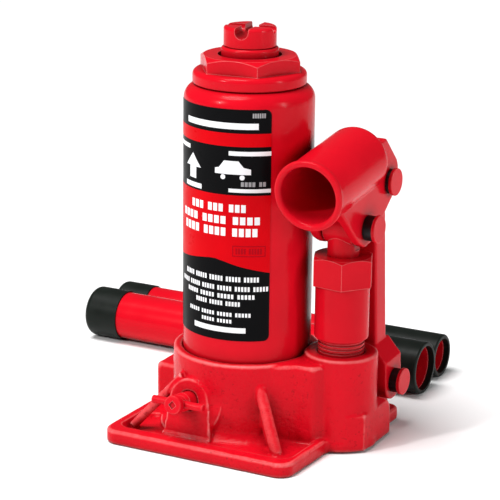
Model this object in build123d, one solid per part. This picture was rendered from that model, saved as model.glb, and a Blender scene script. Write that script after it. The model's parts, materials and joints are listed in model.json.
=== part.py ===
from build123d import *
import os
from math import cos, hypot, radians, sin

# Hydraulic bottle jack, millimetres.  +Z is up, the ram axis is the Z axis and the base stands on z = 0.
# The release valve faces -Y and the pump stands on the +X side of the tank.

# ---- driving dimensions -------------------------------------------------------------------------
lowered_height = 157.2        # top of the saddle with the ram down
ram_stroke = 90.0
screw_travel = 59.0
running_gap = 0.05            # radial clearance of a running fit

plate_left = -40.4
plate_right = 38.6
plate_front = -41.0
plate_back = 39.5
plate_height = 5.7
recess_left = -37.0
recess_right = 36.0
recess_front = -34.9
recess_depth = 1.6
pocket_depth = 1.5            # further drop of the pocket left of the release valve
foot_right = 51.4
foot_back = 21.0
foot_lift = 0.9               # the pump's foot stays clear of the ground

boss_radius = 28.0
boss_top = 34.6
boss_flare = 5.0

tank_radius = 24.4
tank_wall = 2.0
tank_seat = 30.0              # lower end of the tank, in its groove
tank_top = 136.0
tank_shoulder = 5.5

cylinder_radius = 15.4
cylinder_bore = 12.0
cylinder_seat = 20.0
cylinder_top = 133.6

ram_radius = 10.7
ram_top = 149.6
screw_radius = 7.6
screw_foot = 68.0
saddle_radius = 9.8

nut_flange_radius = 21.2
nut_flange_top = 141.2
nut_top = 146.6
nut_across_flats = 34.4
nut_corner_angle = 36.0       # from -Y towards +X

pump_x = 37.5
pump_y = 5.0
pump_boss_radius = 14.0
pump_boss_top = 36.6
pump_seat = 17.0
pump_neck_radius = 8.8
pump_body_radius = 10.2
pump_neck_top = 42.0
pump_body_top = 63.0
pump_top = 74.0
pump_across_flats = 21.4
pump_corner_angle = 23.3
plunger_radius = 6.0
plunger_foot = 24.0

ear_inner = 6.1               # half of the gap between the socket's ears
ear_outer = 9.5
pin_radius = 3.6
pin_head_radius = 5.2
pin_head = 1.5
pump_pin_z = 85.5
eye_radius = 7.2
eye_slack = 1.6               # room for the pin where the linkage is opened
eye_half = 5.6

link_half = 5.7               # half thickness of the link's arm
link_depth = 9.2
link_top_y = 24.3
link_top_z = 99.0
link_foot_y = 29.9
link_foot_z = 19.1
fork_outer = 10.9
fork_depth = 14.0
fork_top = 31.0
lug_half = 5.6

socket_tilt = 8.0             # the rear of the socket is higher at rest
socket_front = (pump_x, -26.1, 102.8)
socket_length = 45.0
socket_radius = 12.6
socket_rim_radius = 13.4
socket_bore = 10.8
socket_depth = 40.0

valve_x = -8.8
valve_face_y = -29.5
valve_face_z = 18.9
valve_tilt = 9.0
valve_boss_radius = 8.5
valve_reach = 12.3            # from the boss face to the head face
valve_radius = 3.6
cross_pin_length = 21.8
cross_pin_radius = 1.5

handle_left = -113.0
near_handle = dict(y=71.0, tube=10.1, bore=8.7, sleeve=10.7, right=44.0)
far_handle = dict(y=93.5, tube=8.4, bore=6.9, sleeve=9.0, right=42.0)
cap_length = 16.0
sleeve_length = 30.0

label_bottom = 43.2
label_top = 130.6
label_left_angle = 62.0
label_right_angle = 47.5
label_thickness = 0.25


# ---- small helpers ------------------------------------------------------------------------------
def upright(radius, low, high, x=0.0, y=0.0):
    """A vertical cylinder between two heights."""
    return Pos(x, y, low) * Cylinder(radius, high - low, align=(Align.CENTER, Align.CENTER, Align.MIN))


def ring(outer, inner, low, high, x=0.0, y=0.0):
    """A vertical ring between two heights."""
    return upright(outer, low, high, x, y) - upright(inner, low - 1, high + 1, x, y)


def crosswise(radius, left, right, y, z):
    """A cylinder along X."""
    return Pos((left + right) / 2, y, z) * Rot(0, 90, 0) * Cylinder(radius, right - left)


def block(left, right, front, back, low, high):
    """A box between six limits."""
    middle = Pos((left + right) / 2, (front + back) / 2, (low + high) / 2)
    return middle * Box(right - left, back - front, high - low)


def turned(points, rounding, x=0.0, y=0.0):
    """A solid of revolution about a vertical axis from (radius, height) corners."""
    outline = FilletPolyline(*points, radius=rounding, close=True)
    return Pos(x, y, 0) * revolve(Plane.XZ * make_face(outline), Axis.Z)


def sideways(points, left, right, rounding=0.0):
    """A prism along X from (y, z) corners."""
    outline = FilletPolyline(*points, radius=rounding, close=True)
    return Pos(left, 0, 0) * extrude(Plane.YZ * make_face(outline), right - left)


def hexagon(across, low, high, corner_angle, bevel, x=0.0, y=0.0):
    """A hexagon prism whose top corners are bevelled by a cone."""
    corner = across / 2 / cos(radians(30))
    prism = extrude(RegularPolygon(corner, 6, rotation=corner_angle - 90), high - low)
    rim = across / 2
    drop = (corner + 1 - rim) * bevel
    height = high - low
    cone = turned([(0, -1), (corner + 1, -1), (corner + 1, height - drop), (rim, height), (0, height)], 0)
    return Pos(x, y, low) * (prism & cone)


def tilted_frame(origin, tilt):
    """A frame whose local Z points to -Y and is raised by the tilt, with local X along +X."""
    forward = Vector(0, -cos(radians(tilt)), sin(radians(tilt)))
    return Plane(origin, x_dir=(1, 0, 0), z_dir=forward).location


def save(node, shape):
    """Writes one named piece."""
    export_step(shape, f"parts/{node}.step")


# ---- base ---------------------------------------------------------------------------------------
valve_frame = tilted_frame((valve_x, valve_face_y, valve_face_z), valve_tilt)
overload_y = 8.0
overload_z = 11.5
screen_x = 18.6


def plate():
    """The foot plate, with a shallow recess inside its rim and the pump's foot on its right."""
    corners = [
        (plate_left, plate_front), (plate_right, plate_front), (39.4, -8.7), (45.8, -6.8), (foot_right, -2.0),
        (foot_right, foot_back), (47.5, foot_back + 3.5), (47.5, plate_back), (plate_left, plate_back),
    ]
    outline = FilletPolyline(*corners, radius=[6, 6, 4, 6, 1.5, 2, 2, 4, 6], close=True)
    slab = extrude(make_face(outline), plate_height)
    slab = chamfer(slab.edges().group_by(Axis.Z)[-1], 0.8)
    slab = chamfer(slab.edges().group_by(Axis.Z)[0], 0.5)
    slab -= block(39.3, 60, -20, 60, -1, foot_lift)
    slab -= recess(recess_left, recess_right, recess_front, 1.0, plate_height - recess_depth, recess_depth)
    pocket_floor = plate_height - recess_depth - pocket_depth
    return slab - recess(recess_left + 1.1, -18.5, recess_front + 1.1, -12.0, pocket_floor, pocket_depth)


def recess(left, right, front, back, floor, depth):
    """A cutter with rounded corners and sloping walls."""
    corners = [(left, front), (right, front), (right, back), (left, back)]
    outline = make_face(FilletPolyline(*corners, radius=5, close=True))
    return Pos(0, 0, floor + depth) * extrude(outline, -depth, taper=35)


def flared_boss(radius, top, flare, edge, x=0.0, y=0.0):
    """A round boss that spreads into the plate with a hollow curve."""
    floor = plate_height - recess_depth
    points = [(0, 0.6), (radius + flare, 0.6), (radius + flare, floor), (radius, floor), (radius, top),
              (0, top)]
    return turned(points, [0, 0, 0, flare * 0.96, edge, 0], x, y)


def pump_foot():
    """The solid foot under the pump; its top edges slope in towards the pump boss."""
    corners = [(24, -6), (39.4, -8.7), (45.8, -6.8), (foot_right, -2.0), (foot_right, foot_back),
               (24, foot_back)]
    outline = make_face(FilletPolyline(*corners, radius=[0, 0, 6, 0, 0, 0], close=True))
    foot = Pos(0, 0, foot_lift) * extrude(outline, 17.2 - foot_lift)
    foot = chamfer(foot.edges().group_by(Axis.Z)[-1], 2.6)
    rear = crosswise(8.0, 40, 60, foot_back - 8.0, 17.2 - 8.0)
    corner = block(43, 60, foot_back - 8.0, foot_back + 1, 17.2 - 8.0, 20)
    return foot - (corner - rear)


def boss_web():
    """The web that joins the main boss and the pump boss."""
    corners = [(10, -14), (19.8, -19.6), (28.5, -14.3), (35.0, -13.4), (38.0, -8.6), (pump_x, 17.5),
               (10, 17.5)]
    outline = make_face(FilletPolyline(*corners, radius=[0, 0, 6, 3, 0, 0, 0], close=True))
    web = Pos(0, 0, 2) * extrude(outline, boss_top - 2.4)
    return chamfer(web.edges().group_by(Axis.Z)[-1], 0.8)


def left_block():
    """The block on the left that houses the overload valve."""
    housing = block(plate_left, -18, 0, 19, 0.5, 20)
    housing = fillet(housing.edges().filter_by(Axis.Z), 2.0)
    return fillet(housing.edges().group_by(Axis.Z)[-1], 1.5)


def valve_boss():
    """The release valve's boss: a round barrel on a wide pedestal, with a sloping shoulder to its right."""
    barrel = valve_frame * Pos(0, 0, -12) * Cylinder(valve_boss_radius, 24)
    barrel = fillet(barrel.edges().group_by(Axis.Y)[0], 1.0)
    side_view = Polyline((-9.9, -14.6), (-8.5, 0), (8.5, 0), (10.2, -14.6), close=True)
    pedestal = valve_frame * Pos(0, 0, -14) * extrude(make_face(side_view), 13.8)
    sill = block(valve_x - 10.1, valve_x + 10.4, -32.1, -20, 3.0, plate_height)
    sill = fillet(sill.edges().group_by(Axis.Z)[-1].group_by(Axis.Y)[0], 0.5)
    shoulder = valve_frame * Pos(0, 0, -6.6) * Cone(19.0, 13.2, 10)
    shoulder = shoulder & block(valve_x + 5, 30, -40, 0, 3.0, boss_top - 1.0)
    return barrel + pedestal + sill + shoulder


def diagonal_rib(start, finish, width, depth):
    """A rounded rib that leans from the main boss out to a front corner of the plate."""
    start = Vector(*start)
    run = Vector(*finish) - start
    across = Vector(run.Y, -run.X, 0).normalized()
    section = Plane(start, x_dir=across, z_dir=run)
    radius = min(width, depth) / 2 - 0.05
    return extrude(section * RectangleRounded(width, depth, radius), run.length)


def front_ribs():
    """The two leaning ribs; the right one has a gusset behind it."""
    right = diagonal_rib((16.6, -20.7, 25.8), (28.8, -29.4, 4.0), 4.4, 4.2)
    left = diagonal_rib((-13.5, -24.6, 26.8), (-33.8, -27.6, 4.0), 5.2, 3.2)
    gusset = diagonal_rib((14.6, -18.0, 22.0), (25.8, -26.0, 4.0), 2.8, 6.0)
    return left + right + gusset


def link_lug():
    """The upright lug between the cheeks of the link's fork."""
    profile = [(link_foot_y - 7.3, 1), (link_foot_y - 7.3, link_foot_z), (link_foot_y - 4, link_foot_z + 7.3),
               (link_foot_y + 4, link_foot_z + 7.3), (link_foot_y + 7.3, link_foot_z), (link_foot_y + 7.3, 1)]
    return sideways(profile, pump_x - lug_half, pump_x + lug_half, [0, 4, 3.5, 3.5, 4, 0])


def base_passages():
    """The oil ways, valve pockets and seats inside the base."""
    open_top = pump_boss_top + 1
    tank_groove = ring(tank_radius + 0.1, tank_radius - tank_wall - 1.2, tank_seat - 1, open_top)
    floor_groove = ring(tank_radius - tank_wall - 1.0, cylinder_radius + 0.1, tank_seat - 1, open_top)
    cylinder_socket = upright(cylinder_radius + 0.1, cylinder_seat - 1, open_top)
    centre_well = upright(9.5, 9.0, cylinder_seat)
    pump_socket = upright(pump_neck_radius + 0.1, pump_seat - 1, open_top, pump_x, pump_y)
    pump_well = upright(3.2, 8.0, pump_seat, pump_x, pump_y)
    inlet_seat = upright(1.5, 5.0, 8.5, pump_x, pump_y)
    inlet_pocket = upright(3.0, 0.0, 5.0, pump_x, pump_y)
    outlet_way = crosswise(1.6, 16.5, pump_x, pump_y, 12)
    outlet_chamber = crosswise(3.1, 7.0, 17.5, pump_y, 12)
    suction_way = crosswise(1.4, screen_x, pump_x, pump_y, 3.2)
    suction_drop = upright(1.4, 2.0, tank_seat, screen_x, pump_y)
    screen_seat = upright(2.6, 25.5, tank_seat, screen_x, pump_y)
    return_way = upright(1.3, 12, tank_seat, valve_x, -17.2)
    overload_hole = crosswise(1.4, -18, -3, overload_y, overload_z)
    cuts = [tank_groove, floor_groove, cylinder_socket, centre_well, pump_socket, pump_well, inlet_seat,
            inlet_pocket, outlet_way, outlet_chamber, suction_way, suction_drop, screen_seat, return_way,
            overload_hole]
    cuts.append(crosswise(3.1, plate_left - 1, -17.0, overload_y, overload_z))
    cuts.append(crosswise(4.6, plate_left - 1, -36.0, overload_y, overload_z))
    cuts.append(crosswise(pin_radius + running_gap, pump_x - 20, pump_x + 20, link_foot_y, link_foot_z))
    cuts.append(valve_frame * Pos(0, 0, -8) * Cylinder(valve_radius + running_gap, 18))
    cuts.append(valve_frame * Pos(0, 0, -22) * Cylinder(1.4, 13))
    return cuts


def base_casting():
    """The cast base with every bore in it."""
    body = plate() + flared_boss(boss_radius, boss_top, boss_flare, 0.9)
    body += flared_boss(pump_boss_radius, pump_boss_top, 0.4, 0.9, pump_x, pump_y)
    for piece in (pump_foot(), boss_web(), left_block(), valve_boss(), front_ribs(), link_lug()):
        body += piece
    fork_room = block(pump_x - fork_outer - 0.6, pump_x - lug_half, 21.4, 39.0, 9.5, 40)
    body -= fork_room
    body -= Pos(2 * pump_x, 0, 0) * mirror(fork_room, Plane.YZ)
    for cut in base_passages():
        body -= cut
    return body


def base_small_parts():
    """Valves, springs and plugs held in the base."""
    save("reservoir_base_seal", ring(tank_radius, tank_radius - tank_wall - 0.2, tank_seat - 1, tank_seat))
    save("cylinder_base_seal", ring(cylinder_radius, cylinder_bore + 0.6, cylinder_seat - 1, cylinder_seat))
    save("pump_cylinder_washer", ring(pump_neck_radius, 6.2, pump_seat - 1, pump_seat, pump_x, pump_y))
    save("inlet_check_ball", Pos(pump_x, pump_y, 9.9) * Sphere(2.4))
    save("outlet_check_ball", Pos(15.43, pump_y, 12) * Sphere(2.6))
    save("outlet_check_spring", coil_spring(2.1, 0.3, 9.0, 12.8, pump_y, 12))
    save("outlet_spring_retainer", crosswise(3.1, 7.8, 9.0, pump_y, 12) - crosswise(1.5, 7, 10, pump_y, 12))
    save("inlet_pocket_plug", upright(3.0, 0.3, 1.7, pump_x, pump_y))
    save("suction_screen", upright(2.6, 28.4, 29.4, screen_x, pump_y))
    save("overload_ball", Pos(-18.72, overload_y, overload_z) * Sphere(2.2))
    save("overload_spring", coil_spring(2.2, 0.35, -30.5, -20.95, overload_y, overload_z))
    save("overload_adjuster", screw_with_slot(3.08, -34.5, -30.5, overload_y, overload_z))
    save("overload_plug", screw_with_slot(4.58, plate_left + 0.2, -36.0, overload_y, overload_z))


def screw_with_slot(radius, left, right, y, z):
    """A plug screw along X with a screwdriver slot in its left end."""
    slot = block(left - 1, left + 1.0, y - radius - 1, y + radius + 1, z - 0.6, z + 0.6)
    return crosswise(radius, left, right, y, z) - slot


def coil_spring(radius, wire, left, right, y, z):
    """A compression spring along X."""
    turns = 6
    path = Helix((right - left - 2 * wire) / turns, right - left - 2 * wire, radius)
    start = path @ 0
    coil = sweep(Plane(start, z_dir=path % 0) * Circle(wire), path, is_frenet=True)
    return Pos(left + wire, y, z) * Rot(0, 90, 0) * coil


# ---- tank, cylinder and top nut -----------------------------------------------------------------
def reservoir_tube():
    """The outer tube, with a rounded shoulder under the top nut and a filler hole at the back."""
    inner = tank_radius - tank_wall
    points = [(inner, tank_seat), (tank_radius, tank_seat), (tank_radius, tank_top), (18.2, tank_top),
              (18.2, tank_top - tank_wall), (inner, tank_top - tank_wall)]
    shell = turned(points, [0, 0, tank_shoulder, 0, 0, tank_shoulder - tank_wall])
    return shell - filler_axis() * Cylinder(4.5, 30, align=(Align.CENTER, Align.CENTER, Align.MIN))


def filler_axis():
    """The filler hole's axis, from inside the tank towards +Y."""
    return Plane((0, tank_radius - 12, 112), x_dir=(1, 0, 0), z_dir=(0, 1, 0)).location


def filler_plug():
    """A rubber plug with a flat head, a waist in the tube's wall and a bulb inside."""
    stem = turned([(0, 8.6), (4.9, 8.6), (4.4, 9.9), (4.4, 13.0), (0, 13.0)], [0, 0.6, 0, 0, 0])
    head = turned([(0, 12.0), (6.8, 12.0), (6.8, 14.8), (0, 14.8)], [0, 0.2, 1.2, 0])
    head = filler_axis() * head - upright(tank_radius + 0.02, 90, 130)
    return head + filler_axis() * stem


def pressure_cylinder():
    """The inner tube that the ram moves in, threaded into the top nut."""
    points = [(cylinder_bore, cylinder_seat), (cylinder_radius, cylinder_seat),
              (cylinder_radius, cylinder_top),
              (cylinder_bore, cylinder_top)]
    return turned(points, [0.4, 0.4, 0.4, 0.4])


def top_nut():
    """The flanged hexagon nut that clamps the tank and guides the ram."""
    flange = turned([(0, tank_top), (nut_flange_radius, tank_top), (nut_flange_radius, nut_flange_top),
                     (0, nut_flange_top)], [0, 0.8, 2.0, 0])
    spigot = upright(18.0, 124, tank_top)
    head = hexagon(nut_across_flats, nut_flange_top - 0.5, nut_top, nut_corner_angle, 0.62)
    nut = flange + spigot + head
    nut -= upright(cylinder_radius + running_gap, 120, cylinder_top + 0.2)
    nut -= upright(ram_radius + 0.15, 120, 141.0)
    nut -= upright(11.9, 141.0, 150)
    nut -= ring(13.0, ram_radius, 136.8, 139.6)
    return nut - ring(18.1, 16.6, 130.0, 132.4)


def tank_label():
    """The printed label, wrapped round the front of the tank."""
    band = ring(tank_radius + label_thickness, tank_radius, label_bottom, label_top)
    reach = 40.0
    left = radians(label_left_angle)
    right = radians(label_right_angle)
    corners = [(0, 0), (-reach * sin(left), -reach * cos(left)), (-reach * sin(left), -2 * reach),
               (reach * sin(right), -2 * reach), (reach * sin(right), -reach * cos(right))]
    wedge = extrude(make_face(Polyline(*corners, close=True)), label_top)
    return band & wedge


# ---- ram and extension screw --------------------------------------------------------------------
def ram():
    """The hollow ram with the screw thread at its top and a spigot for the seal below."""
    outer = turned([(0, 30), (ram_radius, 30), (ram_radius, ram_top), (0, ram_top)], [0, 0.3, 1.1, 0])
    spigot = upright(6.0, 18.0, 30.5)
    bore = upright(8.5, 40, ram_top - 20)
    thread = upright(screw_radius + 0.08, 40, ram_top + 1)
    return outer + spigot - bore - thread


def extension_screw():
    """The screw that lengthens the jack, with the castellated saddle as its head."""
    head_points = [(0, ram_top + 0.1), (saddle_radius, ram_top + 0.1), (saddle_radius, lowered_height),
                   (0, lowered_height)]
    head = turned(head_points, [0, 0.5, 1.2, 0])
    for turn, depth, half_width in ((8.0, 3.9, 2.6), (98.0, 2.4, 2.2)):
        bottom = lowered_height - depth + half_width
        groove = Rot(90, 0, 0) * Cylinder(half_width, 60)
        groove += Pos(0, 0, 10) * Box(2 * half_width, 60, 20)
        head -= Pos(0, 0, bottom) * Rot(0, 0, turn) * groove
    return head + upright(screw_radius, screw_foot, ram_top + 1) + upright(5.0, screw_foot - 4, screw_foot)


# ---- pump ---------------------------------------------------------------------------------------
def pump_cylinder():
    """The pump barrel: a neck screwed into the base, a round body and a hexagon head."""
    neck = turned([(0, pump_seat), (pump_neck_radius, pump_seat), (pump_neck_radius, pump_neck_top),
                   (0, pump_neck_top)], 0, pump_x, pump_y)
    body = turned([(0, pump_neck_top), (pump_body_radius, pump_neck_top), (pump_body_radius, pump_body_top),
                   (0, pump_body_top)], [0, 0.9, 0, 0], pump_x, pump_y)
    head = hexagon(pump_across_flats, pump_body_top, pump_top, pump_corner_angle, 0.6, pump_x, pump_y)
    barrel = neck + body + head
    for level in (37.2, 38.8, 40.4):
        barrel -= ring(pump_neck_radius + 1, pump_neck_radius - 0.5, level, level + 0.8, pump_x, pump_y)
    barrel -= upright(plunger_radius + running_gap, pump_seat - 1, pump_top + 1, pump_x, pump_y)
    return barrel - ring(8.0, plunger_radius, 66, 70.2, pump_x, pump_y)


def pump_plunger():
    """The pump's piston rod with a flat eye on top."""
    rod = turned([(0, plunger_foot), (plunger_radius, plunger_foot), (plunger_radius, pump_pin_z),
                  (0, pump_pin_z)], [0, 0.6, 0, 0], pump_x, pump_y)
    flats = block(pump_x - eye_half, pump_x + eye_half, -20, 20, 74.8, 120)
    rod = (rod & upright(20, 0, 76.5, pump_x, pump_y)) + (rod & flats)
    eye = crosswise(eye_radius, pump_x - eye_half, pump_x + eye_half, pump_y, pump_pin_z)
    hole = crosswise(pin_radius + eye_slack, 0, 80, pump_y, pump_pin_z)
    return rod + eye - hole


# ---- lever: socket, link and pins ---------------------------------------------------------------
socket_frame = tilted_frame(socket_front, -socket_tilt)


def socket_ears():
    """The two ears under the socket; they carry the pump pin and the link's top pin."""
    pump_lobe = (pump_y, pump_pin_z)
    link_lobe = (link_top_y, link_top_z)
    outline = [
        (-16.5, 95.0), (pump_lobe[0] - 6.6, pump_lobe[1] - 4.6), (pump_lobe[0] - 1.5, pump_lobe[1] - 7.4),
        (pump_lobe[0] + 4.5, pump_lobe[1] - 6.4), (link_lobe[0] + 1.0, link_lobe[1] - 8.0),
        (link_lobe[0] + 8.0, link_lobe[1] - 3.0), (link_lobe[0] + 7.2, link_lobe[1] + 6.5), (20.0, 116.5),
        (2.0, 112.0),
    ]
    rounding = [1, 4, 3, 4, 6, 5, 6, 2, 0]
    cheeks = sideways(outline, pump_x - ear_outer, pump_x + ear_outer, rounding)
    return cheeks


def handle_socket():
    """The socket that takes the handle, with its ears and their pin holes."""
    barrel = socket_frame * turned([(0, -socket_length), (socket_radius, -socket_length), (socket_radius, 0),
                                    (0, 0)], [0, 5.0, 0, 0])
    rim = socket_frame * turned([(0, -2.6), (socket_rim_radius, -2.6), (socket_rim_radius, 0), (0, 0)],
                                [0, 0.9, 0.7, 0])
    body = barrel + rim + socket_ears()
    room = [(-22, 88.0), (-22, 60), (50, 60), (50, 106.0), (31.5, 109.4), (21.0, 106.8), (15.0, 95.0),
            (-12, 91.4)]
    for opening in (sideways(room, pump_x - ear_inner, pump_x + ear_inner, [0, 0, 0, 0, 0, 2, 3, 0]),
                    crosswise(8.7, pump_x - ear_inner, pump_x + ear_inner, pump_y, pump_pin_z),
                    crosswise(7.7, pump_x - ear_inner, pump_x + ear_inner, link_top_y, link_top_z)):
        body -= opening
    bore = turned([(0, -socket_depth), (socket_bore, -socket_depth), (socket_bore, -0.8),
                   (socket_bore + 0.8, 0),
                   (socket_bore + 0.8, 1), (0, 1)], [0, 1, 0, 0, 0, 0])
    body -= socket_frame * bore
    body -= crosswise(pin_radius + 0.02, 0, 80, pump_y, pump_pin_z)
    return body - crosswise(pin_radius + 0.02, 0, 80, link_top_y, link_top_z)


def link_arm_place():
    """The link's own frame: origin at the foot pin, local Z towards the top pin."""
    direction = Vector(0, link_top_y - link_foot_y, link_top_z - link_foot_z)
    return Plane((pump_x, link_foot_y, link_foot_z), x_dir=(1, 0, 0), z_dir=direction).location


def lever_link():
    """The link: an eye on top, a flat arm, and a fork that straddles the lug."""
    length = hypot(link_top_y - link_foot_y, link_top_z - link_foot_z)
    arm = Pos(0, 0, length / 2) * Box(2 * link_half, link_depth, length)
    arm = chamfer(arm.edges().filter_by(Axis.Z), 0.5)
    eye = Pos(0, 0, length) * Rot(0, 90, 0) * Cylinder(7.3, 2 * link_half)
    shoulder = fork_top - link_foot_z
    half = fork_depth / 2
    front_view = [(-fork_outer, -7.5), (-fork_outer, shoulder - 3.0), (-link_half, shoulder + 3.4),
                  (link_half, shoulder + 3.4), (fork_outer, shoulder - 3.0), (fork_outer, -7.5)]
    fork = extrude(Plane.XZ * make_face(FilletPolyline(*front_view, radius=[0, 1, 1, 1, 1, 0], close=True)),
                   half, both=True)
    fork = fork & (Rot(0, 90, 0) * Cylinder(7.6, 40) + Pos(0, 0, 10) * Box(40, 2 * half, 20))
    slot = Box(2 * (lug_half + 0.35), 40, 2 * 9.0)
    link = arm + eye + fork - slot
    for height in (0, length):
        link -= Pos(0, 0, height) * Rot(0, 90, 0) * Cylinder(pin_radius + running_gap, 60)
    return link_arm_place() * link


def headed_pin(left, right, head_face, y, z):
    """A pin along X with a disc head on the right and a clip groove on the left."""
    shank = crosswise(pin_radius, left, head_face, y, z)
    groove = crosswise(pin_radius + 1, left + 0.6, left + 1.5, y, z) - crosswise(3.2, left, left + 3, y, z)
    head = crosswise(pin_head_radius, head_face - pin_head, head_face, y, z)
    head = fillet(head.edges().filter_by(GeomType.CIRCLE), 0.3)
    return shank + head - groove


def pin_ring(left, right, y, z):
    """The dark ring between a cheek and a pin's head."""
    return crosswise(4.7, left, right, y, z) - crosswise(pin_radius, left - 1, right + 1, y, z)


def pin_clip(left, y, z):
    """An open retaining clip in a pin's groove."""
    band = crosswise(5.4, left + 0.65, left + 1.45, y, z) - crosswise(3.22, left, left + 3, y, z)
    return band - block(left, left + 3, y - 2.2, y + 2.2, z - 9, z)


def lever_parts():
    """Socket, link, plunger, pins, rings and clips."""
    save("handle_socket", handle_socket())
    save("lever_link", lever_link())
    save("pump_plunger", pump_plunger())
    ear_left = pump_x - ear_outer
    ear_right = pump_x + ear_outer
    clip_room = 1.6
    pins = {
        "pump_pin": (ear_left - clip_room, ear_right, pump_x + 14.7, pump_y, pump_pin_z),
        "link_top_pin": (ear_left - clip_room, ear_right, pump_x + 12.4, link_top_y, link_top_z),
        "link_foot_pin": (pump_x - fork_outer - clip_room, pump_x + fork_outer, pump_x + 15.6, link_foot_y,
                          link_foot_z),
    }
    clips = {}
    for name, (left, right, face, y, z) in pins.items():
        save(name, headed_pin(left, right, face, y, z))
        save(f"{name}_ring", pin_ring(right + 0.1, face - pin_head, y, z))
        clips[name] = pin_clip(left, y, z)
    save("socket_pin_clips", Compound([clips["pump_pin"], clips["link_top_pin"]]))
    save("link_foot_pin_clip", clips["link_foot_pin"])


# ---- release valve ------------------------------------------------------------------------------
def release_valve_screw():
    """The valve's screw: a pointed end, a threaded body, a neck and a round head."""
    points = [(0, -13.4), (1.4, -13.4), (valve_radius, -11.6), (valve_radius, 5.0), (2.7, 6.4), (2.7, 8.8),
              (3.5, 9.6), (3.5, valve_reach), (0, valve_reach)]
    screw = turned(points, [0, 0, 0, 0, 0, 0, 0, 0.5, 0])
    screw -= Pos(0, 0, -8.0) * (Cylinder(valve_radius + 1, 1.8) - Cylinder(2.4, 4))
    dimple = Pos(0, 0, valve_reach) * Rot(0, 0, 45) * Box(2.2, 2.2, 1.0)
    hole = Pos(0, 0, 7.8) * Rot(0, 90, 0) * Cylinder(cross_pin_radius, 40)
    return valve_frame * (screw - dimple - hole)


def release_valve_parts():
    """Screw, cross pin, seal ring and ball."""
    save("release_valve_screw", release_valve_screw())
    bar = Rot(0, 90, 0) * Cylinder(cross_pin_radius, cross_pin_length)
    bar = fillet(bar.edges().filter_by(GeomType.CIRCLE), 0.5)
    save("release_valve_cross_pin", valve_frame * Pos(0, 0, 7.8) * bar)
    seal = Cylinder(valve_radius, 1.6) - Cylinder(2.42, 4)
    save("release_valve_seal", valve_frame * Pos(0, 0, -8.0) * seal)
    save("release_valve_ball", valve_frame * Pos(0, 0, -15.55) * Sphere(2.0))


# ---- handle pieces ------------------------------------------------------------------------------
def handle_piece(name, size):
    """One loose handle tube lying along X, with its end cap and its open sleeve."""
    height = size["sleeve"]
    left = handle_left
    right = size["right"]
    tube = crosswise(size["tube"], left + 3, right - 2.5, size["y"], height)
    tube -= crosswise(size["bore"], left, right, size["y"], height)
    shell = crosswise(size["sleeve"], left, left + cap_length, size["y"], height)
    shell = fillet(shell.edges().group_by(Axis.X)[0], 2.6)
    cap = shell - crosswise(size["tube"], left + 3, left + 60, size["y"], height)
    sleeve = crosswise(size["sleeve"], right - sleeve_length, right, size["y"], height)
    sleeve = fillet(sleeve.edges().group_by(Axis.X)[-1], 0.8)
    sleeve -= crosswise(size["tube"], right - 60, right - 2.5, size["y"], height)
    sleeve -= crosswise(size["bore"] + 0.4, right - 60, right + 1, size["y"], height)
    save(f"{name}_tube", tube)
    save(f"{name}_cap", cap)
    save(f"{name}_sleeve", sleeve)


# ---- the whole jack -----------------------------------------------------------------------------
def main():
    os.makedirs("parts", exist_ok=True)
    save("base_casting", base_casting())
    base_small_parts()
    save("reservoir_tube", reservoir_tube())
    save("oil_filler_plug", filler_plug())
    save("tank_label", tank_label())
    save("pressure_cylinder", pressure_cylinder())
    save("top_nut", top_nut())
    save("top_nut_seal", ring(18.0, 16.62, 130.1, 132.3))
    save("ram_wiper", ring(12.95, ram_radius + running_gap, 136.9, 139.5))
    save("ram", ram())
    save("ram_guide_ring", ring(cylinder_bore - running_gap, ram_radius, 31.0, 37.0))
    save("ram_cup_seal", turned([(6.0, 22.0), (cylinder_bore - running_gap, 20.5),
                                 (cylinder_bore - running_gap, 29.6), (6.0, 29.6)], 0))
    save("ram_seal_retainer", ring(9.0, 6.0, 18.2, 20.3))
    save("extension_screw", extension_screw())
    save("screw_stop_ring", ring(8.3, 5.05, screw_foot - 3.2, screw_foot - 0.1))
    save("pump_cylinder", pump_cylinder())
    save("plunger_seal", ring(8.0, plunger_radius + running_gap, 66, 68.2, pump_x, pump_y))
    save("plunger_backup_ring", ring(8.0, plunger_radius + running_gap, 68.3, 70.1, pump_x, pump_y))
    lever_parts()
    release_valve_parts()
    handle_piece("near_handle", near_handle)
    handle_piece("far_handle", far_handle)


main()
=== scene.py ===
import json
import math

import bmesh
import bpy
from mathutils import Matrix, Vector, noise


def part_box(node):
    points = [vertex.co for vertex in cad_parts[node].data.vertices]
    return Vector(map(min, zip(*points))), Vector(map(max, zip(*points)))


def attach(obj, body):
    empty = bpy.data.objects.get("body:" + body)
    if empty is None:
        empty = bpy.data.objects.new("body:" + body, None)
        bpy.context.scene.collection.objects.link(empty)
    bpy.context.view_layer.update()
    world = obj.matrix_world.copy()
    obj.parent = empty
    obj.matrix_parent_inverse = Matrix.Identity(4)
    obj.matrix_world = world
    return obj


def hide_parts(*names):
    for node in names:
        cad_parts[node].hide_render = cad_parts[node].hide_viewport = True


# Hydraulic bottle jack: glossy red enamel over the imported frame, in metres.
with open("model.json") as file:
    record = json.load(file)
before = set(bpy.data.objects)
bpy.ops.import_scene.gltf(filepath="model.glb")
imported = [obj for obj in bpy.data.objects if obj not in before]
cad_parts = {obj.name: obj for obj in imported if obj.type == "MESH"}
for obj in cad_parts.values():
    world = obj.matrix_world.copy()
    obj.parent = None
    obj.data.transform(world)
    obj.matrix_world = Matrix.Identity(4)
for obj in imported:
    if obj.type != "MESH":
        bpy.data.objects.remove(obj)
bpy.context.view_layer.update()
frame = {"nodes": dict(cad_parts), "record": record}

MM = 0.001
RED = (0.64, 0.004, 0.014)
# Deep red for painted shade in crevices, and for the pits of the cast skin.
SHADE_AND_PIT_RED = (0.20, 0.002, 0.003)
# Pale pink for the painted highlight on edges.
EDGE_HIGHLIGHT_RED = (0.82, 0.22, 0.22)
LABEL_RED = (0.62, 0.001, 0.005)
LABEL_DARK_RED = (0.40, 0.002, 0.008)
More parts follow.
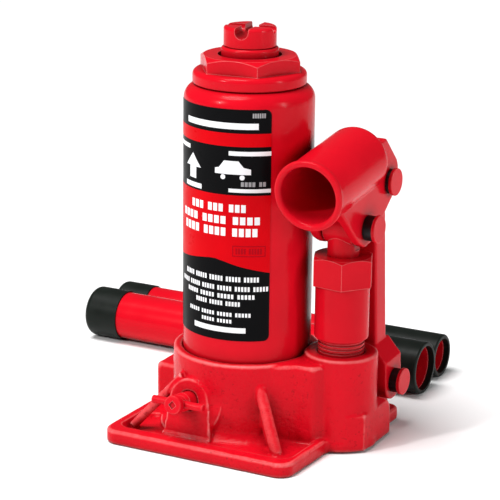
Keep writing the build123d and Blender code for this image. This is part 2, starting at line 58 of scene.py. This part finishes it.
BLACK_FILM = (0.004, 0.004, 0.0045)
WHITE_INK = (0.88, 0.89, 0.91)
GREY_INK = (0.34, 0.34, 0.35)
BLACK_VINYL = (0.006, 0.008, 0.0065)


# ---- materials ----------------------------------------------------------------------------------
class Nodes:
    """A short way to add and join shader nodes."""

    def __init__(self, name):
        self.material = bpy.data.materials.new(name)
        self.material.use_nodes = True
        self.tree = self.material.node_tree
        self.shader = self.tree.nodes["Principled BSDF"]
        self.place = self.add("ShaderNodeTexCoord").outputs["Object"]

    def add(self, kind, **values):
        node = self.tree.nodes.new(kind)
        for key, value in values.items():
            setattr(node, key, value)
        return node

    def link(self, source, target):
        self.tree.links.new(source, target)

    def noise(self, scale, detail=3.0, roughness=0.5):
        node = self.add("ShaderNodeTexNoise")
        node.inputs["Scale"].default_value = scale
        node.inputs["Detail"].default_value = detail
        node.inputs["Roughness"].default_value = roughness
        self.link(self.place, node.inputs["Vector"])
        return node.outputs["Fac"]

    def span(self, value, low, high, out_low, out_high):
        node = self.add("ShaderNodeMapRange")
        for key, number in (("From Min", low), ("From Max", high), ("To Min", out_low), ("To Max", out_high)):
            node.inputs[key].default_value = number
        self.link(value, node.inputs["Value"])
        return node.outputs["Result"]

    def mix(self, factor, first, second):
        node = self.add("ShaderNodeMix")
        node.data_type = "RGBA"
        self.link(factor, node.inputs[0])
        for socket, colour in ((node.inputs[6], first), (node.inputs[7], second)):
            if isinstance(colour, tuple):
                socket.default_value = (*colour, 1.0)
            else:
                self.link(colour, socket)
        return node.outputs[2]

    def bump(self, height, strength, distance, normal=None):
        node = self.add("ShaderNodeBump")
        node.inputs["Strength"].default_value = strength
        node.inputs["Distance"].default_value = distance
        self.link(height, node.inputs["Height"])
        if normal is not None:
            self.link(normal, node.inputs["Normal"])
        return node.outputs["Normal"]

    def round_edges(self, radius):
        node = self.add("ShaderNodeBevel", samples=4)
        node.inputs["Radius"].default_value = radius
        return node.outputs["Normal"]

    def edge_mask(self, rounded):
        """1 on edges, 0 on open faces: how far the rounded normal turns from the true one."""
        true_normal = self.add("ShaderNodeNewGeometry").outputs["Normal"]
        dot = self.add("ShaderNodeVectorMath", operation="DOT_PRODUCT")
        self.link(rounded, dot.inputs[0])
        self.link(true_normal, dot.inputs[1])
        return self.span(dot.outputs["Value"], 0.999, 0.90, 0.0, 1.0)

    def crevice_shade_mask(self, distance):
        """0 in crevices, 1 in the open: the mask for painted shade in crevices."""
        node = self.add("ShaderNodeAmbientOcclusion", samples=4)
        node.inputs["Distance"].default_value = distance
        return node.outputs["AO"]


def enamel(name, cast=0.0, edge=0.35 * MM):
    """Gloss red enamel: orange peel, a painted highlight on edges, painted shade in crevices; cast adds a patchy
    sand-cast skin.
    """
    n = Nodes(name)
    rounded = n.round_edges(edge)
    colour = n.mix(n.span(n.noise(45.0), 0.35, 0.65, 0.0, 1.0), RED, tuple(0.90 * c for c in RED))
    # Painted highlight: where the rounded normal turns, the colour is mixed towards a pale pink.
    painted_edge_highlight = n.edge_mask(rounded)
    if cast:
        # On castings the painted highlight follows the convex points of the dense mesh instead.
        painted_edge_highlight = n.span(n.add("ShaderNodeNewGeometry").outputs["Pointiness"], 0.512, 0.55, 0.0, 0.9)
    edge_highlit_colour = n.mix(painted_edge_highlight, colour, EDGE_HIGHLIGHT_RED)
    # Painted shade: crevices and bores are mixed towards a deep red by ambient occlusion.
    colour = n.mix(n.span(n.crevice_shade_mask(6.0 * MM), 0.25, 0.85, 0.0, 1.0), SHADE_AND_PIT_RED, edge_highlit_colour)
    normal = n.bump(n.noise(900.0, 2.0), 0.12, 0.06 * MM, rounded)
    if cast:
        grain = n.noise(850.0, 3.0, 0.6)
        pits = n.span(grain, 0.30, 0.42, 1.0, 0.0)
        patches = n.add("ShaderNodeMath", operation="MULTIPLY")
        n.link(pits, patches.inputs[0])
        n.link(n.span(n.noise(60.0), 0.42, 0.62, 0.0, 0.6), patches.inputs[1])
        colour = n.mix(patches.outputs["Value"], colour, SHADE_AND_PIT_RED)
        normal = n.bump(grain, cast, 0.30 * MM, normal)
        normal = n.bump(n.noise(240.0, 2.0), cast * 0.7, 0.45 * MM, normal)
    n.link(colour, n.shader.inputs["Base Color"])
    n.link(normal, n.shader.inputs["Normal"])
    n.link(n.span(n.noise(120.0), 0.3, 0.7, 0.16, 0.27), n.shader.inputs["Roughness"])
    n.shader.inputs["Specular IOR Level"].default_value = 0.07
    n.shader.inputs["Coat Weight"].default_value = 0.02
    n.shader.inputs["Coat Roughness"].default_value = 0.05
    return n.material


def vinyl(name, colour=BLACK_VINYL, low=0.32, high=0.5):
    """Dipped vinyl or rubber: nearly black, uneven sheen, a painted highlight on edges."""
    n = Nodes(name)
    rounded = n.round_edges(0.3 * MM)
    # Painted highlight: edges are mixed towards a lighter grey.
    painted_edge_highlight = tuple(c * 3.0 + 0.006 for c in colour)
    base = n.mix(n.span(n.noise(90.0), 0.3, 0.75, 0.0, 1.0), colour, tuple(c * 1.7 for c in colour))
    n.link(n.mix(n.edge_mask(rounded), base, painted_edge_highlight), n.shader.inputs["Base Color"])
    n.link(n.bump(n.noise(700.0, 4.0), 0.25, 0.08 * MM, rounded), n.shader.inputs["Normal"])
    n.link(n.span(n.noise(160.0), 0.3, 0.7, low, high), n.shader.inputs["Roughness"])
    n.shader.inputs["Specular IOR Level"].default_value = 0.1
    return n.material


def metal(name, colour, low, high, grain=600.0):
    """Bare metal with turning marks and a little staining."""
    n = Nodes(name)
    rounded = n.round_edges(0.2 * MM)
    stain = n.mix(n.span(n.noise(140.0, 4.0), 0.35, 0.7, 0.0, 1.0), colour, tuple(c * 0.72 for c in colour))
    # Painted highlight: edges are mixed towards a lighter tone of the metal.
    n.link(n.mix(n.edge_mask(rounded), stain, tuple(min(1.0, c * 1.25) for c in colour)), n.shader.inputs["Base Color"])
    stretch = n.add("ShaderNodeMapping")
    stretch.inputs["Scale"].default_value = (1.0, 1.0, 14.0)
    n.link(n.place, stretch.inputs["Vector"])
    marks = n.add("ShaderNodeTexNoise")
    marks.inputs["Scale"].default_value = grain
    n.link(stretch.outputs["Vector"], marks.inputs["Vector"])
    n.link(n.bump(marks.outputs["Fac"], 0.15, 0.03 * MM, rounded), n.shader.inputs["Normal"])
    n.link(n.span(n.noise(300.0), 0.3, 0.7, low, high), n.shader.inputs["Roughness"])
    n.shader.inputs["Metallic"].default_value = 1.0
    return n.material


def ink(name, colour):
    """Printed film: flat ink with a slight mottle under a satin laminate."""
    n = Nodes(name)
    base = n.mix(n.span(n.noise(70.0), 0.35, 0.65, 0.0, 1.0), colour, tuple(c * 0.9 for c in colour))
    n.link(base, n.shader.inputs["Base Color"])
    n.link(n.bump(n.noise(350.0, 2.0), 0.06, 0.05 * MM), n.shader.inputs["Normal"])
    n.link(n.span(n.noise(200.0), 0.3, 0.7, 0.26, 0.36), n.shader.inputs["Roughness"])
    n.shader.inputs["Specular IOR Level"].default_value = 0.03
    return n.material


PAINTS = {
    "red_casting": enamel("red enamel on casting", 0.62, 0.5 * MM),
    "red_tube": enamel("red enamel on tube"),
    "red_steel": enamel("red enamel on steel"),
    "red_ram": enamel("red enamel on ram"),
    "label_print": ink("black film", BLACK_FILM),
    "black_rubber": vinyl("black rubber", low=0.5, high=0.7),
    "dark_seal": vinyl("dark seal", (0.02, 0.02, 0.024), 0.4, 0.6),
    "seal_plastic": vinyl("ivory seal plastic", (0.6, 0.57, 0.48), 0.4, 0.6),
    "black_vinyl": vinyl("black vinyl"),
    "black_clip": metal("black oxide steel", (0.03, 0.03, 0.032), 0.35, 0.55),
    "copper_washer": metal("annealed copper", (0.72, 0.36, 0.22), 0.3, 0.45),
    "bare_steel": metal("turned steel", (0.56, 0.56, 0.57), 0.22, 0.4),
    "bearing_steel": metal("ball steel", (0.74, 0.74, 0.76), 0.08, 0.16),
    "spring_steel": metal("spring steel", (0.36, 0.36, 0.38), 0.25, 0.4),
    "screen_brass": metal("brass gauze", (0.72, 0.54, 0.26), 0.3, 0.5, 2500.0),
    "guide_brass": metal("guide brass", (0.72, 0.54, 0.26), 0.25, 0.4),
}
SLOTS = {part["node"]: part["material_slot"] for part in frame["record"]["subparts"]}


def paint_cad_nodes():
    """Every CAD node takes the procedural material of its slot."""
    for node, thing in frame["nodes"].items():
        thing.data.materials.clear()
        thing.data.materials.append(PAINTS[SLOTS[node]])


# ---- mesh helpers -------------------------------------------------------------------------------
def finish_piece(name, mesh, material, body):
    """Turns a mesh into a smooth piece that rides on a body."""
    mesh.validate()
    mesh.polygons.foreach_set("use_smooth", [True] * len(mesh.polygons))
    mesh.materials.clear()
    mesh.materials.append(material)
    thing = bpy.data.objects.new(name, mesh)
    bpy.context.scene.collection.objects.link(thing)
    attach(thing, body)
    return thing


def new_piece(name, verts, faces, material, body):
    """Makes a smooth piece from vertices and faces."""
    mesh = bpy.data.meshes.new(name)
    mesh.from_pydata(verts, [], faces)
    return finish_piece(name, mesh, material, body)


def apply_modifiers(thing):
    """Replaces the mesh by what its modifiers give."""
    bpy.context.view_layer.update()
    result = bpy.data.meshes.new_from_object(thing.evaluated_get(bpy.context.evaluated_depsgraph_get()))
    thing.modifiers.clear()
    thing.data = result


def smooth_casting(node, body, name, paint, voxel, passes, ripple=0.0):
    """A cast copy of a CAD node: edges and inner corners run together softly, with a slightly uneven skin."""
    thing = bpy.data.objects.new(name, frame["nodes"][node].data.copy())
    bpy.context.scene.collection.objects.link(thing)
    remesh = thing.modifiers.new("remesh", "REMESH")
    remesh.mode = "VOXEL"
    remesh.voxel_size = voxel
    soften = thing.modifiers.new("soften", "SMOOTH")
    soften.factor = 0.5
    soften.iterations = passes
    apply_modifiers(thing)
    mesh = thing.data
    if ripple:
        normals = [v.normal.copy() for v in mesh.vertices]
        for vertex, normal in zip(mesh.vertices, normals):
            wave = noise.fractal(vertex.co * 150.0, 1.0, 2.0, 3)
            vertex.co += normal * (ripple * wave)
    mesh.polygons.foreach_set("use_smooth", [True] * len(mesh.polygons))
    mesh.materials.clear()
    mesh.materials.append(paint)
    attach(thing, body)
    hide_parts(node)
    return thing


# ---- extension screw ------------------------------------------------------------------------------
def saddle_head():
    """The head of the extension screw: the CAD mesh above the ram's end, closed underneath."""
    ram_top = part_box("ram")[1][2]
    bm = bmesh.new()
    bm.from_mesh(frame["nodes"]["extension_screw"].data)
    geometry = bm.verts[:] + bm.edges[:] + bm.faces[:]
    cut = bmesh.ops.bisect_plane(bm, geom=geometry, plane_co=(0, 0, ram_top), plane_no=(0, 0, 1), clear_inner=True)
    rim = [e for e in cut["geom_cut"] if isinstance(e, bmesh.types.BMEdge)]
    bmesh.ops.contextual_create(bm, geom=rim)
    mesh = bpy.data.meshes.new("saddle_head")
    bm.to_mesh(mesh)
    bm.free()
    return finish_piece("saddle_head", mesh, PAINTS["red_ram"], "screw")


def threaded_shank():
    """The screw below its head: a round-crested thread of 4 mm pitch and a plain end for the stop ring."""
    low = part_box("extension_screw")[0]
    ram_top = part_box("ram")[1][2]
    around, step = 56, 0.4 * MM
    rows = int((ram_top - low[2]) / step)
    verts = []
    for row in range(rows + 1):
        z = low[2] + (ram_top + 0.05 * MM - low[2]) * row / rows
        for k in range(around):
            turn = k / around
            wave = (z / (4.0 * MM) - turn) % 1.0
            flank = min(1.0, max(0.0, 2.2 * abs(wave - 0.5) - 0.15) / 0.7)
            radius = 7.55 * MM - 0.95 * MM * flank if z > low[2] + 4.0 * MM else 5.0 * MM
            angle = 2 * math.pi * turn
            verts.append((radius * math.cos(angle), radius * math.sin(angle), z))
    faces = []
    for row in range(rows):
        for k in range(around):
            a, b = row * around + k, row * around + (k + 1) % around
            faces.append((a, b, b + around, a + around))
    faces.append(tuple(reversed(range(around))))
    faces.append(tuple(rows * around + k for k in range(around)))
    return new_piece("threaded_shank", verts, faces, PAINTS["bare_steel"], "screw")


# ---- label ----------------------------------------------------------------------------------------
TANK_RADIUS = (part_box("reservoir_tube")[1][0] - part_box("reservoir_tube")[0][0]) / 2
LABEL_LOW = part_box("tank_label")[0][2] / MM
LABEL_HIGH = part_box("tank_label")[1][2] / MM
LABEL_LEFT, LABEL_RIGHT = -26.2, 20.2         # along the tank's surface in mm, from its front line


def wrapped(name, outlines, lift, thickness, material):
    """Flat outlines in (arc, height) millimetres, wrapped round the tank as a closed film of slight thickness."""
    bm = bmesh.new()
    for outline in outlines:
        bm.faces.new([bm.verts.new((x * MM, 0.0, z * MM)) for x, z in outline])
    bm.normal_update()
    bmesh.ops.triangulate(bm, faces=bm.faces[:])
    for step in range(int(LABEL_LEFT), int(LABEL_RIGHT) + 1):
        everything = bm.verts[:] + bm.edges[:] + bm.faces[:]
        bmesh.ops.bisect_plane(bm, geom=everything, plane_co=(step * MM, 0, 0), plane_no=(1, 0, 0))
    for vert in bm.verts:
        angle = vert.co.x / TANK_RADIUS
        reach = TANK_RADIUS + lift * MM
        vert.co = (reach * math.sin(angle), -reach * math.cos(angle), vert.co.z)
    bm.normal_update()
    inward = [face for face in bm.faces if face.normal.xy.dot(face.calc_center_median().xy) < 0]
    bmesh.ops.reverse_faces(bm, faces=inward)
    mesh = bpy.data.meshes.new(name)
    bm.to_mesh(mesh)
    bm.free()
    thing = bpy.data.objects.new(name, mesh)
    bpy.context.scene.collection.objects.link(thing)
    solidify = thing.modifiers.new("thickness", "SOLIDIFY")
    solidify.thickness = thickness * MM
    solidify.offset = 1.0
    apply_modifiers(thing)
    thing.data.materials.clear()
    thing.data.materials.append(material)
    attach(thing, "base")
    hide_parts("tank_label")
    return thing


def panel(left, right, low, high):
    """A four-sided outline."""
    return [(left, low), (right, low), (right, high), (left, high)]


def rounded_panel(left, right, low, high, radius):
    """A panel with round corners."""
    outline = []
    for x, z, start in ((right, high, 0), (left, high, 90), (left, low, 180), (right, low, 270)):
        centre_x = x - radius if x == right else x + radius
        centre_z = z - radius if z == high else z + radius
        for k in range(7):
            angle = math.radians(start + 15 * k)
            outline.append((centre_x + radius * math.cos(angle), centre_z + radius * math.sin(angle)))
    return outline


def print_bars(left, right, low, high, groups, fill=0.74):
    """Plain blocks in groups that stand for a line of print."""
    pitch = (right - left) / (sum(groups) + 0.8 * (len(groups) - 1))
    bars = []
    x = left
    for group in groups:
        for _ in range(group):
            bars.append(panel(x, x + pitch * fill, low, high))
            x += pitch
        x += 0.8 * pitch
    return bars


def disc(x, z, radius):
    """A round outline."""
    steps = [math.radians(30 * k) for k in range(12)]
    return [(x + radius * math.cos(a), z + radius * math.sin(a)) for a in steps]


def label_art():
    """Black film with red bands, white stripes, a plain lifting pictogram and bars in place of print."""
    film = ink("black film", BLACK_FILM)
    red = ink("red print", LABEL_RED)
    dark = ink("dark red print", LABEL_DARK_RED)
    white = ink("white print", WHITE_INK)
    grey = ink("grey print", GREY_INK)
    left, right = LABEL_LEFT, LABEL_RIGHT
    inner = right - 0.02
    wrapped("label_film", [rounded_panel(left, right, LABEL_LOW, LABEL_HIGH, 2.2)], 0.02, 0.08, film)
    wrapped("label_band", [panel(left, inner, 116.9, 121.8)], 0.10, 0.04, red)
    field = [(left, 71.2), (-14.0, 72.7), (-3.5, 74.3), (-0.6, 74.4), (3.0, 73.6), (9.0, 71.9), (inner, 69.4),
             (inner, 98.8), (left, 98.8)]
    wrapped("label_field", [field], 0.10, 0.04, red)
    stripes = [panel(left, -14.0, 113.6, 115.2), panel(4.6, inner, 113.6, 115.2), panel(4.6, inner, 99.9, 101.3)]
    wrapped("label_stripes", stripes, 0.13, 0.04, white)

    arrow = [(-14.0, 103.0), (-10.0, 103.0), (-10.0, 107.4), (-7.4, 107.4), (-12.0, 112.4), (-16.6, 107.4),
             (-14.0, 107.4)]
    ground_bar = panel(-17.0, -7.0, 99.6, 101.4)
    car = [(-0.8, 106.6), (12.8, 106.6), (12.8, 108.6), (10.2, 109.2), (8.2, 111.6), (2.8, 111.6), (0.8, 109.0),
           (-0.8, 108.6)]
    wheels = [disc(2.4, 105.5, 0.95), disc(9.6, 105.5, 0.95)]
    wrapped("label_pictogram", [arrow, ground_bar, car] + wheels, 0.13, 0.04, white)

    print_lines = [panel(-15.6, 15.4, 123.3, 125.6)]
    print_lines += print_bars(-12.3, 11.6, 92.4, 95.3, (3, 3, 3))
    print_lines += print_bars(-19.0, 16.9, 87.8, 90.7, (4, 4, 4))
    print_lines += print_bars(-17.5, 16.0, 83.3, 86.4, (4, 4, 4))
    wrapped("label_print_bold", print_lines, 0.13, 0.04, white)
    small = []
    for low, high, reach, words in ((66.0, 67.9, 16.5, 5), (62.4, 64.2, 20.0, 6), (59.4, 61.1, 15.0, 4),
                                    (56.6, 58.3, 9.6, 3), (52.5, 54.0, 13.6, 4), (49.9, 51.3, 6.5, 2)):
        small += print_bars(-reach, reach, low, high, (5,) * words, 0.66)
    small.append(panel(-10.6, 11.4, 46.3, 48.3))
    wrapped("label_print_small", small, 0.13, 0.04, white)
    wrapped("label_print_grey", print_bars(13.2, 18.2, 127.6, 129.3, (6,), 0.7)
            + print_bars(9.2, 18.6, 102.2, 103.9, (4, 2), 0.75), 0.13, 0.04, grey)
    frame_bars = [panel(6.2, 18.5, 79.5, 79.9), panel(6.2, 18.5, 75.7, 76.1), panel(6.2, 6.6, 76.1, 79.5),
                  panel(18.1, 18.5, 76.1, 79.5)]
    frame_bars += print_bars(7.4, 17.4, 76.7, 78.9, (4, 5), 0.7)
    wrapped("label_print_dark", frame_bars, 0.13, 0.04, dark)


# ---- scene --------------------------------------------------------------------------------------
def soft_light(name, place, target, size, power):
    """A rectangular studio light aimed at a point."""
    data = bpy.data.lights.new(name, "AREA")
    data.shape = "RECTANGLE"
    data.size, data.size_y = size
    data.energy = power
    light = bpy.data.objects.new(name, data)
    light.location = place
    light.rotation_mode = "QUATERNION"
    light.rotation_quaternion = (Vector(target) - Vector(place)).to_track_quat("-Z", "Y")
    bpy.context.scene.collection.objects.link(light)


def studio():
    """A plain pale floor, a dim grey surround, a soft overhead sun and two soft lights."""
    half = 4.0
    mesh = bpy.data.meshes.new("floor")
    mesh.from_pydata([(-half, -half, 0), (half, -half, 0), (half, half, 0), (-half, half, 0)], [], [(0, 1, 2, 3)])
    floor = bpy.data.objects.new("floor", mesh)
    bpy.context.scene.collection.objects.link(floor)
    n = Nodes("pale floor")
    tint = n.mix(n.span(n.noise(3.0), 0.3, 0.7, 0.0, 1.0), (0.95, 0.95, 0.95), (0.93, 0.93, 0.93))
    n.link(tint, n.shader.inputs["Base Color"])
    n.shader.inputs["Roughness"].default_value = 0.7
    n.shader.inputs["Specular IOR Level"].default_value = 0.1
    floor.data.materials.append(n.material)
    world = bpy.data.worlds.new("grey surround")
    world.use_nodes = True
    world.node_tree.nodes["Background"].inputs["Color"].default_value = (1.0, 1.0, 1.0, 1.0)
    world.node_tree.nodes["Background"].inputs["Strength"].default_value = 0.12
    bpy.context.scene.world = world
    sun = bpy.data.lights.new("overhead", "SUN")
    sun.energy = 3.2
    sun.angle = math.radians(30.0)
    overhead = bpy.data.objects.new("overhead", sun)
    overhead.rotation_mode = "QUATERNION"
    overhead.rotation_quaternion = Vector((0.20, 0.26, -1.0)).to_track_quat("-Z", "Y")
    bpy.context.scene.collection.objects.link(overhead)
    middle = (0.0, 0.0, 0.08)
    soft_light("key light", (-0.40, -0.75, 0.60), middle, (0.07, 0.25), 5.0)
    soft_light("side light", (0.90, 0.00, 0.35), middle, (0.10, 0.40), 3.0)
    bpy.context.scene.view_settings.view_transform = "Standard"


def camera():
    """A long lens from the front right, a little above the jack."""
    azimuth, pitch, roll = math.radians(28.035), math.radians(15.851), math.radians(0.623)
    data = bpy.data.cameras.new("camera")
    data.sensor_width = 36.0
    data.lens = 150.41
    data.shift_x = 0.0002
    data.shift_y = 0.002
    thing = bpy.data.objects.new("camera", data)
    tilt = Matrix.Rotation(math.pi / 2 - pitch, 4, "X") @ Matrix.Rotation(roll, 4, "Z")
    turn = Matrix.Rotation(azimuth, 4, "Z") @ tilt
    thing.matrix_world = Matrix.Translation((0.35753, -0.66980, 0.28669)) @ turn
    bpy.context.scene.collection.objects.link(thing)
    bpy.context.scene.camera = thing


camera()
studio()
paint_cad_nodes()
smooth_casting("base_casting", "base", "base_shell", PAINTS["red_casting"], 0.55 * MM, 2, 0.09 * MM)
forged = enamel("red enamel on forging")
smooth_casting("handle_socket", "socket", "socket_shell", forged, 0.42 * MM, 5, 0.03 * MM)
smooth_casting("lever_link", "link", "link_shell", forged, 0.42 * MM, 3, 0.03 * MM)
for piece in (saddle_head(), threaded_shank()):
    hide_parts("extension_screw")
label_art()
